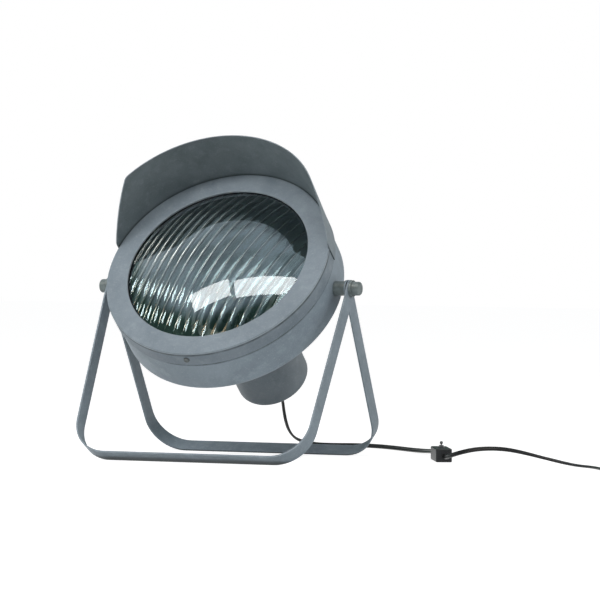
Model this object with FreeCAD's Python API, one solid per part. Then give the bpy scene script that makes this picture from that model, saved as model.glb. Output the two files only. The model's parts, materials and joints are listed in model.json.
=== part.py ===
"""Tabletop searchlight lamp: a tilting drum head with a scoop visor on a stand of two strap hoops.

Millimetres and degrees.  The origin is on the table under the pivot axis.  +X runs along the pivot
axis, -Y is the side that the lamp shines to, +Z is up.  The head's pieces are drawn in the head's own
frame, with Z along the beam and its origin on the pivot axis, and are then tilted to the beam's angle.
"""
import FreeCAD, Part
import math
import os

V = FreeCAD.Vector
ORIGIN = V(0, 0, 0)
X_AXIS = V(1, 0, 0)
Y_AXIS = V(0, 1, 0)
Z_AXIS = V(0, 0, 1)

# ---------------------------------------------------------------- driving dimensions
# Head: the drum, its bezel and its visor.
beam_elevation = 40.7           # the beam's angle above the horizontal
pivot_height = 219.0
sheet = 1.2                     # wall of the spun and rolled sheet pieces
bezel_radius = 150.0
bezel_skirt_depth = 22.0
bezel_corner = 1.5
bezel_lip_depth = 2.4
face_ahead_of_pivot = 49.0
face_ring_width = 29.0          # from the bezel's outer edge to the lens opening
shell_slip = 0.3                # radial gap between the bezel's skirt and the shell inside it
shell_lap = 17.0                # how far the shell reaches into the bezel's skirt
shell_back_behind_pivot = 24.4
shell_back_corner = 6.0
shell_dome_depth = 12.0
visor_slip = 0.1
visor_reach = 72.5              # from the bezel's face to the visor's front edge
visor_flare = 1.8               # how much the visor opens out towards its front edge
visor_side_height = 24.8        # height of the visor's lower edges above the beam axis
visor_side_length = 6.6         # straight stretch of those edges ahead of the bezel's face
visor_side_slope = 40.4
visor_corner = 9.0

# Rear cup.
cup_mouth_radius = 49.0
cup_end_radius = 48.2
cup_end_behind_pivot = 186.5
cup_corner = 5.0
cup_slip = 0.3
cup_flange_radius = 61.0
cup_screw_circle = 55.5
cup_screw_count = 4

# Lens and what holds it.
lens_thickness = 4.0
lens_overlap = 6.8
lens_bulge = 31.0
lens_seat_depth = 3.4           # from the bezel's face to the front of the lens's rim
gasket_lip = 2.0
gasket_side = 3.0
gasket_slip = 0.4
clip_count = 4
clip_width = 14.0
clip_sheet = 1.0
clip_reach = 7.0
clip_foot = 10.0
clip_stud_radius = 1.5
clip_stud_length = 6.4

# Screws, nuts and their fits.
screw_clearance = 0.2           # radial, a screw in a plain hole
thread_slip = 0.02              # radial, a screw in its nut
m4_radius = 2.0
m4_head_radius = 3.8
m4_head_height = 2.4
m4_nut_across = 7.0
m4_nut_height = 3.2
m3_nut_across = 5.5
m3_nut_height = 2.4
drive_slot_width = 1.0
drive_slot_share = 0.5
bezel_screw_angles = (180.0, 45.0, -45.0)
bezel_screw_behind_face = 11.5
screw_length_spare = 1.5

# Pivot on each side.
pivot_bolt_radius = 4.0
bolt_head_across = 13.0
bolt_head_height = 5.3
backing_plate_width = 32.0
backing_plate_length = 26.0
backing_plate_thickness = 3.8
bush_radius = 9.2
bush_length = 14.3              # from the drum's wall to the bush's outer end
washer_radius = 10.6
inner_washer_thickness = 1.6
outer_washer_thickness = 3.2
pad_gap = 0.1                   # between a washer and the strap pad beside it
knob_gap = 0.1
knob_radius = 8.8
knob_length = 9.8
knob_edge = 2.5
knob_bore_depth = 6.5
knob_slip = 0.05
bolt_slip = 0.08                # radial, the bolt in the strap pads

# Stand: two strap hoops.
strap_width = 22.0
strap_thickness = 2.0
hoop_splay = 29.9               # each hoop's lean from the vertical
front_leg_inset = 8.9           # how far each hoop's sharp corner lies inside its pads
rear_leg_inset = 4.5
hoop_corner_radius = 47.5
pad_bend_radius = 10.0
pad_margin = 1.5
pad_spacer_thickness = 1.4      # between the two hoops' pads
pad_spacer_radius = 9.0

# Lamp holder, its stem and the bulb.
stem_radius = 5.0
stem_bore = 3.4
stem_outside = 6.0
stem_length = 58.0
stem_slip = 0.1
stem_nut_across = 14.0
stem_nut_height = 3.0
stem_thread_in_holder = 6.0
holder_radius = 20.0
holder_base_height = 20.0
holder_sleeve_length = 32.0
holder_wall = 2.0
holder_join = 4.0
holder_slip = 0.15
insert_height = 12.0
thread_shell_radius = 13.9
thread_shell_wall = 0.4
thread_shell_length = 22.0
contact_height = 3.0
contact_radius = 3.2
terminal_offset = 10.0
lead_radius = 1.1
lead_spread = 1.4
sheath_in_stem = 12.0           # how far the cord's sheath reaches into the stem
bulb_cap_radius = 13.2
bulb_cap_length = 24.0
bulb_cap_wall = 0.3
bulb_length = 105.0
bulb_radius = 30.0
bulb_neck_radius = 12.6
bulb_glass_wall = 0.8
bulb_contact_radius = 4.5
bulb_contact_height = 1.6
stem_mount_radius = 3.5
filament_post_radius = 0.35
filament_radius = 11.0
filament_wire = 0.4
filament_height = 36.0

# Cord grip at the cup's end.
grip_flange_radius = 10.0
grip_flange_height = 3.0
grip_root_radius = 7.0
grip_tip_radius = 4.2
grip_length = 20.5
grip_bore_slip = 0.1

# Cord, its switch and its plug.
cord_diameter = 5.4
cord_arc_share = 0.45           # each arc's tangent length as a share of its shorter run
cord_joint_gap = 0.3            # between the cord's pieces where they meet at an angle
coil_middle_radius = 30.0
coil_section_width = 12.4
coil_section_height = 10.0
coil_section_corner = 4.0
coil_end_offset = 3.2            # how far outside the middle circle the cord joins and leaves
coil_centre = V(569, -47, 0)
floor_gap = 0.05

switch_length = 66.0
switch_width = 20.5
switch_height = 17.0
switch_split = 7.5
switch_wall = 1.8
switch_edge = 3.0
switch_turn = 27.8              # the switch's own Y axis, from the lamp's Y axis
switch_place = V(283.0, 37.0, floor_gap)
switch_cord_slip = 0.1
case_screw_radius = 1.4
case_screw_head_radius = 2.6
case_screw_head_height = 1.6
case_screw_inset = 12.0
case_post_radius = 3.0
contact_block_size = V(11.0, 20.0, 4.0)
contact_x = -1.5
terminal_size = V(4.2, 9.0, 4.0)
terminal_offset_x = -3.4
clamp_size = V(12.0, 4.0, 9.4)
clamp_inset = 6.0
clamp_slip = 0.02
sheath_in_switch = 9.0
core_radius = 0.8
core_spread = 1.35
core_bend = 1.3
toggle_bush_radius = 3.0
toggle_bore_radius = 2.1
toggle_bush_above = 3.0
toggle_bush_below = 4.0
toggle_flange_radius = 4.6
toggle_flange_height = 1.2
toggle_nut_across = 8.0
toggle_nut_height = 1.8
toggle_ball_slip = 0.05
toggle_stem_radius = 1.0
toggle_tip_radius = 2.1
toggle_above_bush = 5.2
toggle_tail = 3.0
toggle_pivot_drop = 2.2         # pivot below the bush's top
toggle_pin_radius = 0.6
toggle_pin_length = 5.4

plug_length = 38.0
plug_width = 35.0
plug_neck_width = 13.0
plug_height = 13.7
plug_edge = 3.0
plug_place = V(590.4, 14.0, floor_gap)
plug_turn = 21.0
plug_cord_length = 3.0
pin_radius = 2.0
pin_root_radius = 1.6           # inside the plug and just outside its face
pin_root_outside = 0.4
pin_length = 19.0
pin_spacing = 18.6
pin_seat = 8.0
pin_slip = 0.02

# Route of the cord from the grip to the switch, from the switch to the coil, and to the plug.
drop_points = [
    V(0, 164.1, 77.8), V(0, 170.9, 67.2), V(0, 175.2, 52.5), V(0, 181.8, 38.0), V(0, 193.0, 24.6),
    V(1, 210, 14.6), V(4, 232, 8.8), V(12, 256, 4.8), V(28, 277, 2.75), V(57, 288, 2.75),
    V(92, 280, 2.75), V(128, 254, 2.75), V(163, 223, 2.75), V(195, 190, 3.8), V(220, 153.5, 6.2),
    V(239.6, 119.2, 7.8),
]
lead_points = [
    V(290.8, 22.2, 7.4), V(302, 8, 10.4), V(318.5, 0, 15.4), V(338, 0, 20.0), V(357, 7, 21.4),
    V(376, 18, 20.0), V(396, 30, 15.0), V(418, 38, 9.0), V(442, 38, 4.8), V(466, 29, 2.75),
    V(488, 13, 2.75), V(506, -9, 2.75), V(519, -30, 2.75),
]
tail_points = [V(602, -38, 2.9), V(601.2, -24, 3.8), V(598.6, -10, 5.4), V(594.4, 3, 6.7)]
drop_split = 7                  # the corner of the first route after which it lies near the table

# ---------------------------------------------------------------- derived dimensions
bezel_bore = bezel_radius - sheet
bezel_skirt_rear = face_ahead_of_pivot - bezel_skirt_depth
face_back = face_ahead_of_pivot - sheet
shell_radius = bezel_bore - shell_slip
lens_opening_radius = bezel_radius - face_ring_width
shell_bore = shell_radius - sheet
shell_front = bezel_skirt_rear + shell_lap
cup_hole_radius = cup_mouth_radius + cup_slip
dome_end_z = -shell_back_behind_pivot - shell_dome_depth
cup_flat_radius = cup_flange_radius + 1.5
visor_inner_radius = bezel_radius + visor_slip
visor_outer_radius = visor_inner_radius + sheet
visor_front = face_ahead_of_pivot + visor_reach
lens_radius = lens_opening_radius + lens_overlap
lens_rim_front = face_ahead_of_pivot - lens_seat_depth
lens_rim_back = lens_rim_front - lens_thickness
gasket_outer_radius = lens_radius + gasket_slip + gasket_side
gasket_back = lens_rim_back - gasket_lip
clip_arm_front = gasket_back
clip_inner_radius = gasket_outer_radius - clip_reach
clip_riser_radius = gasket_outer_radius + 0.5
clip_stud_circle = clip_riser_radius + clip_sheet + clip_foot / 2
bush_end = shell_radius + bush_length
inner_washer_end = bush_end + inner_washer_thickness
rear_pad_x = inner_washer_end + pad_gap + strap_thickness / 2
front_pad_x = rear_pad_x + strap_thickness + pad_spacer_thickness
rear_hoop_corner_x = rear_pad_x - rear_leg_inset
front_hoop_corner_x = front_pad_x - front_leg_inset
outer_washer_start = front_pad_x + strap_thickness / 2 + pad_gap
knob_start = outer_washer_start + outer_washer_thickness + knob_gap
splay = math.radians(hoop_splay)
hoop_depth = (pivot_height - strap_width / 2 * math.sin(splay)) / math.cos(splay)
pad_length = strap_width / 2 / math.tan(splay) + pad_margin
cup_floor_z = -cup_end_behind_pivot + sheet
stem_start = -cup_end_behind_pivot - stem_outside
stem_end = stem_start + stem_length
holder_back = stem_end - stem_thread_in_holder
holder_join_z = holder_back + holder_base_height
insert_back = holder_join_z
insert_front = insert_back + insert_height
contact_front = insert_front + contact_height
bulb_back = contact_front
bulb_cap_back = bulb_back + bulb_contact_height
bulb_cap_front = bulb_cap_back + bulb_cap_length
bulb_front = bulb_back + bulb_length
bulb_centre_z = bulb_front - bulb_radius
grip_end_behind_pivot = cup_end_behind_pivot + grip_length
cord_radius = cord_diameter / 2


# ---------------------------------------------------------------- general helpers
def unit(vector):
    """The vector at length one."""
    return vector * (1.0 / vector.Length)


def tilted(shape):
    """Move a piece from the head's frame to its place on the stand."""
    moved = shape.copy()
    moved.rotate(ORIGIN, X_AXIS, 90.0 - beam_elevation)
    moved.translate(V(0, 0, pivot_height))
    return moved


def turned(shape, angle, place):
    """Turn a piece about its own upright axis and set it down at its place."""
    moved = shape.copy()
    moved.rotate(ORIGIN, Z_AXIS, angle)
    moved.translate(place)
    return moved


def on_both_sides(shape):
    """A piece at +X and its half-turned twin at -X, as one group."""
    twin = shape.copy()
    twin.rotate(ORIGIN, Z_AXIS, 180.0)
    return Part.makeCompound([shape, twin])


def around(shape, count, first_angle=0.0):
    """Copies of a piece spaced evenly about the beam axis."""
    copies = []
    for index in range(count):
        copy = shape.copy()
        copy.rotate(ORIGIN, Z_AXIS, first_angle + 360.0 / count * index)
        copies.append(copy)
    return copies


def corner_arc(before, at, after, radius):
    """Start, middle and end of the arc that rounds a corner."""
    back = unit(before - at)
    ahead = unit(after - at)
    half = back.getAngle(ahead) / 2
    start = at + back * (radius / math.tan(half))
    end = at + ahead * (radius / math.tan(half))
    middle = at + unit(back + ahead) * (radius / math.sin(half) - radius)
    return start, middle, end


def path_edges(points, radii, closed=False):
    """Straight edges through the points, with each corner rounded by its own radius (0 keeps it)."""
    count = len(points)
    edges = []
    joints = []
    for index, point in enumerate(points):
        is_end = not closed and index in (0, count - 1)
        radius = radii[index]
        if is_end or radius == 0:
            joints.append((point, None, point))
        else:
            joints.append(corner_arc(points[index - 1], point, points[(index + 1) % count], radius))
    for index, (start, middle, end) in enumerate(joints):
        if middle is not None:
            edges.append(Part.Arc(start, middle, end).toShape())
        if index + 1 < count or closed:
            following = joints[(index + 1) % count][0]
            if (following - end).Length > 1e-6:
                edges.append(Part.LineSegment(end, following).toShape())
    return edges


def spun(profile, radii=None):
    """Solid of revolution about Z of a closed outline of (radius, height) points."""
    points = [V(r, 0, z) for r, z in profile]
    wire = Part.Wire(path_edges(points, radii or [0] * len(points), closed=True))
    return Part.Face(wire).revolve(ORIGIN, Z_AXIS, 360)


def plate(points, radii, height, base=0.0):
    """Plate with an outline in the XY plane."""
    wire = Part.Wire(path_edges([V(x, y, base) for x, y in points], radii, closed=True))
    return Part.Face(wire).extrude(V(0, 0, height))


def rod(radius, start, end, axis=Z_AXIS, through=ORIGIN):
    """Round bar along an axis between two distances from a point of it."""
    return Part.makeCylinder(radius, end - start, through + axis * start, axis)


def tube(outer, inner, start, end, axis=Z_AXIS, through=ORIGIN):
    """Round tube along an axis between two distances from a point of it."""
    return rod(outer, start, end, axis, through).cut(rod(inner, start, end, axis, through))


def block(size, centre_x, centre_y, base):
    """Upright block centred over a point."""
    return Part.makeBox(size.x, size.y, size.z, V(centre_x - size.x / 2, centre_y - size.y / 2, base))


def hexagon(across, start, end):
    """Hexagonal bar about Z."""
    corner = across / math.sqrt(3)
    points = [(corner * math.cos(math.pi / 3 * k), corner * math.sin(math.pi / 3 * k)) for k in range(6)]
    return plate(points, [0] * 6, end - start, start)


def hex_nut(across, height, bore, start=0.0):
    """Hexagon nut about Z, resting on the height where it starts."""
    return hexagon(across, start, start + height).cut(rod(bore, start, start + height))


def pan_screw(radius, length, head_radius, head_height):
    """Slotted pan-head screw along -Z with the underside of its head at Z = 0."""
    head = rod(head_radius, 0, head_height)
    rim = [edge for edge in head.Edges if edge.BoundBox.ZMin > head_height / 2]
    head = head.makeFillet(head_height / 2, rim)
    slot_depth = head_height * drive_slot_share
    slot = Part.makeBox(3 * head_radius, drive_slot_width, slot_depth,
                        V(-1.5 * head_radius, -drive_slot_width / 2, head_height - slot_depth))
    return head.fuse(rod(radius, -length, 0)).cut(slot)


def set_radially(shape, distance, angle, height):
    """Point a piece's Z outward from the beam axis; the angle runs from +Y towards +X."""
    placed = shape.copy()
    placed.rotate(ORIGIN, X_AXIS, -90.0)
    placed.translate(V(0, distance, height))
    placed.rotate(ORIGIN, Z_AXIS, -angle)
    return placed


# ---------------------------------------------------------------- head: sheet pieces
def bezel_screw_holes(inner, outer):
    """Radial bars where the bezel's screws pass."""
    hole = rod(m4_radius + screw_clearance, inner, outer)
    z = face_ahead_of_pivot - bezel_screw_behind_face
    return [set_radially(hole, 0, angle, z) for angle in bezel_screw_angles]


def pivot_hole():
    """Bar along the pivot axis, the size of the bolts' holes."""
    reach = bezel_radius + strap_width
    return rod(pivot_bolt_radius + screw_clearance, -reach, reach, X_AXIS)


def head_shell():
    """Spun drum, open at the front, with a hole in its back for the cup."""
    corner = shell_back_corner
    back_z = -shell_back_behind_pivot
    outline = [
        (shell_radius, shell_front), (shell_radius, back_z), (cup_flat_radius, dome_end_z),
        (cup_hole_radius, dome_end_z), (cup_hole_radius, dome_end_z + sheet),
        (cup_flat_radius, dome_end_z + sheet), (shell_bore, back_z + sheet), (shell_bore, shell_front),
    ]
    shell = spun(outline, [0, corner, 0, 0, 0, 0, corner - sheet, 0])
    shell = shell.cut(pivot_hole())
    for hole in bezel_screw_holes(shell_bore - 5, bezel_radius + 5) + cup_screw_holes():
        shell = shell.cut(hole)
    return shell


def bezel_ring():
    """Flat-faced ring with a skirt, a rolled inner lip and the studs of the lens clips."""
    lip_back = face_ahead_of_pivot - bezel_lip_depth
    outline = [
        (bezel_radius, bezel_skirt_rear), (bezel_radius, face_ahead_of_pivot),
        (lens_opening_radius, face_ahead_of_pivot), (lens_opening_radius, lip_back),
        (lens_opening_radius + sheet, lip_back), (lens_opening_radius + sheet, face_back),
        (bezel_bore, face_back), (bezel_bore, bezel_skirt_rear),
    ]
    ring = spun(outline, [0, bezel_corner, sheet * 0.9, 0, 0, 0, bezel_corner - sheet, 0])
    stud = rod(clip_stud_radius, face_back - clip_stud_length, face_back + sheet / 2)
    stud.translate(V(clip_stud_circle, 0, 0))
    for copy in around(stud, clip_count, 45.0):
        ring = ring.fuse(copy)
    for hole in bezel_screw_holes(shell_bore - 5, bezel_radius + 5):
        ring = ring.cut(hole)
    return ring


def visor():
    """Scoop rolled round the top of the bezel, cut away to slanted sides."""
    rear = bezel_skirt_rear
    outline = [
        (visor_outer_radius, rear), (visor_outer_radius, face_ahead_of_pivot),
        (visor_outer_radius + visor_flare, visor_front), (visor_inner_radius + visor_flare, visor_front),
        (visor_inner_radius, face_ahead_of_pivot), (visor_inner_radius, rear),
    ]
    sheet_ring = spun(outline)
    side_front = face_ahead_of_pivot + visor_side_length
    top = visor_outer_radius + visor_flare + 1
    rise = (visor_front - side_front) * math.tan(math.radians(visor_side_slope))
    side = [
        V(0, visor_side_height, rear - 1), V(0, visor_side_height, side_front),
        V(0, visor_side_height + rise, visor_front), V(0, top, visor_front), V(0, top, rear - 1),
    ]
    outline_wire = Part.Wire(path_edges(side, [0, visor_corner * 1.2, visor_corner, 0, 0], closed=True))
    keep = Part.Face(outline_wire).extrude(V(2 * top, 0, 0))
    keep.translate(V(-top, 0, 0))
    scoop = sheet_ring.common(keep)
    for hole in bezel_screw_holes(shell_bore - 5, bezel_radius + 5)[1:]:
        scoop = scoop.cut(hole)
    return scoop


def bezel_screws():
    """The visible screw under the bezel and the two that also hold the visor."""
    z = face_ahead_of_pivot - bezel_screw_behind_face
    screws = []
    for angle in bezel_screw_angles:
        seat = bezel_radius if angle == 180.0 else visor_outer_radius
        length = seat - shell_bore + m4_nut_height + screw_length_spare
        screw = pan_screw(m4_radius, length, m4_head_radius, m4_head_height)
        screws.append(set_radially(screw, seat, angle, z))
    return Part.makeCompound(screws)


def bezel_nuts():
    """Nuts inside the shell for the bezel's screws, set clear of its curve."""
    half_corner = m4_nut_across / math.sqrt(3)
    seat = math.sqrt(shell_bore ** 2 - half_corner ** 2)
    nut = hex_nut(m4_nut_across, m4_nut_height, m4_radius + thread_slip)
    z = face_ahead_of_pivot - bezel_screw_behind_face
    nuts = [set_radially(nut, seat - m4_nut_height, angle, z) for angle in bezel_screw_angles]
    return Part.makeCompound(nuts)


# ---------------------------------------------------------------- head: rear cup
def cup_screw_holes():
    """Bars along the beam where the cup's screws pass."""
    hole = rod(m4_radius + screw_clearance, dome_end_z - 5, dome_end_z + 10)
    hole.translate(V(cup_screw_circle, 0, 0))
    return around(hole, cup_screw_count, 45.0)


def rear_cup():
    """Tapered cup for the lamp holder, flanged inside the shell."""
    flange_back = dome_end_z + sheet
    flange_front = flange_back + sheet
    end = -cup_end_behind_pivot
    outline = [
        (cup_flange_radius, flange_back), (cup_flange_radius, flange_front),
        (cup_mouth_radius - sheet, flange_front), (cup_end_radius - sheet, end + sheet),
        (stem_radius + stem_slip, end + sheet), (stem_radius + stem_slip, end),
        (cup_end_radius, end), (cup_mouth_radius, flange_back),
    ]
    cup = spun(outline, [0, 0, 0, cup_corner - sheet, 0, 0, cup_corner, 0])
    for hole in cup_screw_holes():
        cup = cup.cut(hole)
    return cup


def cup_screws():
    """Screws through the shell's back into the cup's flange, heads outside."""
    length = 2 * sheet + m4_nut_height + screw_length_spare
    screw = pan_screw(m4_radius, length, m4_head_radius, m4_head_height)
    screw.rotate(ORIGIN, X_AXIS, 180.0)
    screw.translate(V(cup_screw_circle, 0, dome_end_z))
    return Part.makeCompound(around(screw, cup_screw_count, 45.0))


def cup_nuts():
    """Nuts of the cup's screws, inside on the flange."""
    nut = hex_nut(m4_nut_across, m4_nut_height, m4_radius + thread_slip, dome_end_z + 2 * sheet)
    nut.translate(V(cup_screw_circle, 0, 0))
    return Part.makeCompound(around(nut, cup_screw_count, 45.0))


# ---------------------------------------------------------------- head: lens
def lens_glass():
    """Domed glass with a flat rim."""
    edge = lens_opening_radius
    bulge_radius = (edge ** 2 + lens_bulge ** 2) / (2 * lens_bulge)
    centre_z = lens_rim_front + lens_bulge - bulge_radius
    inner_bulge = bulge_radius - lens_thickness
    inner_edge = math.sqrt(inner_bulge ** 2 - (lens_rim_back - centre_z) ** 2)

    def on_dome(radius, share):
        """Point on a dome, at a share of the way from its top to its edge."""
        reach = edge if radius == bulge_radius else inner_edge
        angle = math.asin(reach / radius) * share
        return V(radius * math.sin(angle), 0, centre_z + radius * math.cos(angle))

    outer_top, outer_middle, outer_end = [on_dome(bulge_radius, share) for share in (0, 0.5, 1)]
    inner_top, inner_middle, inner_end = [on_dome(inner_bulge, share) for share in (0, 0.5, 1)]
    edges = [
        Part.Arc(outer_top, outer_middle, outer_end).toShape(),
        Part.LineSegment(outer_end, V(lens_radius, 0, lens_rim_front)).toShape(),
        Part.LineSegment(V(lens_radius, 0, lens_rim_front), V(lens_radius, 0, lens_rim_back)).toShape(),
        Part.LineSegment(V(lens_radius, 0, lens_rim_back), inner_end).toShape(),
        Part.Arc(inner_end, inner_middle, inner_top).toShape(),
        Part.LineSegment(inner_top, outer_top).toShape(),
    ]
    return Part.Face(Part.Wire(edges)).revolve(ORIGIN, Z_AXIS, 360)


def lens_gasket():
    """Rubber channel between the lens's rim and the bezel's face."""
    inner = lens_opening_radius + sheet + gasket_slip
    groove = lens_radius + gasket_slip
    return spun([
        (inner, face_back), (gasket_outer_radius, face_back), (gasket_outer_radius, gasket_back),
        (inner, gasket_back), (inner, lens_rim_back), (groove, lens_rim_back),
        (groove, lens_rim_front), (inner, lens_rim_front),
    ])


def lens_clips():
    """Z-shaped spring clips that press the gasket against the bezel."""
    arm_back = clip_arm_front - clip_sheet
    riser_outer = clip_riser_radius + clip_sheet
    foot_end = riser_outer + clip_foot
    foot_back = face_back - clip_sheet
    outline = [
        (clip_inner_radius, arm_back), (riser_outer, arm_back), (riser_outer, foot_back),
        (foot_end, foot_back), (foot_end, face_back), (clip_riser_radius, face_back),
        (clip_riser_radius, clip_arm_front), (clip_inner_radius, clip_arm_front),
    ]
    wire = Part.Wire(path_edges([V(r, -clip_width / 2, z) for r, z in outline], [0] * 8, closed=True))
    clip = Part.Face(wire).extrude(V(0, clip_width, 0))
    hole = rod(clip_stud_radius + screw_clearance, foot_back - 1, face_back + 1)
    hole.translate(V(clip_stud_circle, 0, 0))
    return Part.makeCompound(around(clip.cut(hole), clip_count, 45.0))


def lens_clip_nuts():
    """Nuts that hold the clips on their studs."""
    start = face_back - clip_sheet - m3_nut_height
    nut = hex_nut(m3_nut_across, m3_nut_height, clip_stud_radius + thread_slip, start)
    nut.translate(V(clip_stud_circle, 0, 0))
    return Part.makeCompound(around(nut, clip_count, 45.0))


# ---------------------------------------------------------------- head: lamp holder and bulb
def stem_tube():
    """Threaded tube that carries the lamp holder and lets the cord in."""
    return tube(stem_radius, stem_bore, stem_start, stem_end)


def stem_nuts():
    """Lock nuts inside the cup's end and under the lamp holder."""
    bore = stem_radius + thread_slip
    low = hex_nut(stem_nut_across, stem_nut_height, bore, cup_floor_z)
    high = hex_nut(stem_nut_across, stem_nut_height, bore, holder_back - stem_nut_height)
    return Part.makeCompound([low, high])


def holder_base():
    """Domed back half of the lamp holder."""
    outer = holder_radius
    inner = outer - holder_wall
    floor = holder_back + stem_thread_in_holder
    outline = [
        (stem_radius + thread_slip, holder_back), (outer, holder_back), (outer, holder_join_z),
        (inner, holder_join_z), (inner, floor), (stem_radius + thread_slip, floor),
    ]
    return spun(outline, [0, 7.0, 0, 0, 5.0, 0])


def holder_sleeve():
    """Front sleeve of the lamp holder."""
    inner = holder_radius - holder_wall
    end = holder_join_z + holder_sleeve_length
    lip = thread_shell_radius + holder_slip
    return spun([
        (inner, holder_join_z), (holder_radius, holder_join_z), (holder_radius, end), (lip, end),
        (lip, end - holder_wall), (inner, end - holder_wall),
    ], [0, 0, 1.5, 0, 0, 0])


def holder_insert():
    """Ceramic insert with its terminals' pockets and the leads' holes."""
    radius = holder_radius - holder_wall - holder_slip
    insert = rod(radius, insert_back, insert_front)
    for side in (-1, 1):
        hole = rod(m3_nut_height / 2 + thread_slip, insert_back, insert_front)
        hole.translate(V(side * terminal_offset, 0, 0))
        insert = insert.cut(hole)
    return insert


def holder_terminals():
    """Brass terminal posts in the insert."""
    posts = []
    for side in (-1, 1):
        post = rod(m3_nut_height / 2, insert_back, insert_front - 2)
        post.translate(V(side * terminal_offset, 0, 0))
        posts.append(post)
    return Part.makeCompound(posts)


def holder_thread_shell():
    """Brass sleeve that takes the bulb's cap."""
    return tube(thread_shell_radius, thread_shell_radius - thread_shell_wall, insert_front,
                insert_front + thread_shell_length)


def holder_contact():
    """Centre contact on the insert."""
    return rod(contact_radius, insert_front, contact_front)


def lead_wires():
    """The cord's two cores, from the stem up to the terminals."""
    wires = []
    for side in (-1, 1):
        points = [
            V(side * lead_spread, 0, stem_start + sheath_in_stem), V(side * lead_spread, 0, stem_end + 2),
            V(side * terminal_offset, 0, insert_back - 3.5), V(side * terminal_offset, 0, insert_back),
        ]
        path = Part.Wire(path_edges(points, [0, 3.0, 3.0, 0]))
        ring = Part.Wire(Part.makeCircle(lead_radius, points[0], Z_AXIS))
        wires.append(path.makePipeShell([ring], True, False))
    return Part.makeCompound(wires)


def bulb_cap():
    """Screw cap of the bulb, with its closed back."""
    return spun([
        (bulb_contact_radius, bulb_cap_back), (bulb_cap_radius, bulb_cap_back + 4),
        (bulb_cap_radius, bulb_cap_front), (bulb_cap_radius - bulb_cap_wall, bulb_cap_front),
        (bulb_cap_radius - bulb_cap_wall, bulb_cap_back + 4 + bulb_cap_wall),
        (bulb_contact_radius, bulb_cap_back + bulb_cap_wall),
    ])


def bulb_contact():
    """Insulated button at the back of the bulb's cap."""
    return rod(bulb_contact_radius, bulb_back, bulb_cap_back + 1)


def bulb_outline(offset):
    """Arc and neck edges of the bulb's glass, drawn in by an offset."""
    radius = bulb_radius - offset
    neck = bulb_neck_radius - offset
    neck_front = bulb_cap_front + 14
    drop = math.sqrt(radius ** 2 - (radius * 0.86) ** 2)
    shoulder = V(radius * 0.86, 0, bulb_centre_z - drop)
    top = V(0, 0, bulb_centre_z + radius)
    side = V(radius, 0, bulb_centre_z)
    foot = V(neck, 0, bulb_cap_front - 6 + offset)
    throat = V(neck, 0, neck_front)
    return [
        Part.Arc(top, side, shoulder).toShape(), Part.LineSegment(shoulder, throat).toShape(),
        Part.LineSegment(throat, foot).toShape(),
    ], top, foot


def bulb_glass():
    """Thin blown glass of the bulb, seated in its cap."""
    outer, outer_top, outer_foot = bulb_outline(0)
    inner, inner_top, inner_foot = bulb_outline(bulb_glass_wall)
    base = [
        Part.LineSegment(outer_foot, V(0, 0, outer_foot.z)).toShape(),
        Part.LineSegment(V(0, 0, outer_foot.z), V(0, 0, inner_foot.z)).toShape(),
        Part.LineSegment(V(0, 0, inner_foot.z), inner_foot).toShape(),
        Part.LineSegment(inner_top, outer_top).toShape(),
    ]
    wire = Part.Wire(Part.__sortEdges__(outer + inner + base))
    return Part.Face(wire).revolve(ORIGIN, Z_AXIS, 360)


def bulb_filament():
    """Glass mount, two posts and the filament ring."""
    base = bulb_cap_front - 6 + bulb_glass_wall
    tip = base + filament_height
    mount = spun([(0, base), (stem_mount_radius * 1.8, base), (stem_mount_radius, base + 10),
                  (stem_mount_radius, tip - 8), (0, tip - 8)])
    ring = Part.makeTorus(filament_radius, filament_wire, V(0, 0, tip), Z_AXIS)
    pieces = mount.fuse(ring)
    for angle in (0, 90, 180, 270):
        outward = V(math.cos(math.radians(angle)), math.sin(math.radians(angle)), 0)
        start = V(0, 0, tip - 10)
        end = V(0, 0, tip) + outward * filament_radius
        arm = Part.makeCylinder(filament_post_radius, (end - start).Length, start, end - start)
        pieces = pieces.fuse(arm)
    return pieces


# ---------------------------------------------------------------- head: cord grip
def cord_grip():
    """Moulded grip screwed onto the stem, tapering along the cord."""
    start = -cup_end_behind_pivot
    tip = -grip_end_behind_pivot
    bore = cord_radius + grip_bore_slip
    return spun([
        (stem_radius + thread_slip, start), (grip_flange_radius, start),
        (grip_flange_radius, start - grip_flange_height), (grip_root_radius, start - grip_flange_height),
        (grip_tip_radius, tip), (bore, tip), (bore, stem_start), (stem_radius + thread_slip, stem_start),
    ], [0, 0, 1.0, 0, 0.8, 0, 0, 0])


def cord_root():
    """The cord's sheath inside the grip and the stem."""
    return rod(cord_radius, cord_joint_gap - grip_end_behind_pivot, stem_start + sheath_in_stem)


# ---------------------------------------------------------------- pivots
def pivot_bolts():
    """Bolts from inside the drum out to the knobs."""
    seat = shell_bore - backing_plate_thickness
    head = hexagon(bolt_head_across, seat - bolt_head_height, seat)
    shank_end = knob_start + knob_bore_depth
    bolt = head.fuse(rod(pivot_bolt_radius, seat, shank_end))
    bolt.rotate(ORIGIN, Y_AXIS, 90.0)
    return on_both_sides(bolt)


def backing_plates():
    """Plates inside the drum, curved to its wall and flat under the bolts' heads."""
    seat = shell_bore - backing_plate_thickness
    size = V(backing_plate_thickness + 1, backing_plate_width, backing_plate_length)
    pad = Part.makeBox(size.x, size.y, size.z, V(seat, -size.y / 2, -size.z / 2))
    pad = pad.common(rod(shell_bore, -size.z, size.z)).cut(pivot_hole())
    return on_both_sides(pad)


def spacer_bushes():
    """Bushes between the drum and the stand, scribed to the drum's curve."""
    bush = rod(bush_radius, shell_radius - 2, bush_end, X_AXIS)
    bush = bush.cut(rod(shell_radius, -2 * bush_radius, 2 * bush_radius)).cut(pivot_hole())
    return on_both_sides(bush)


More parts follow.
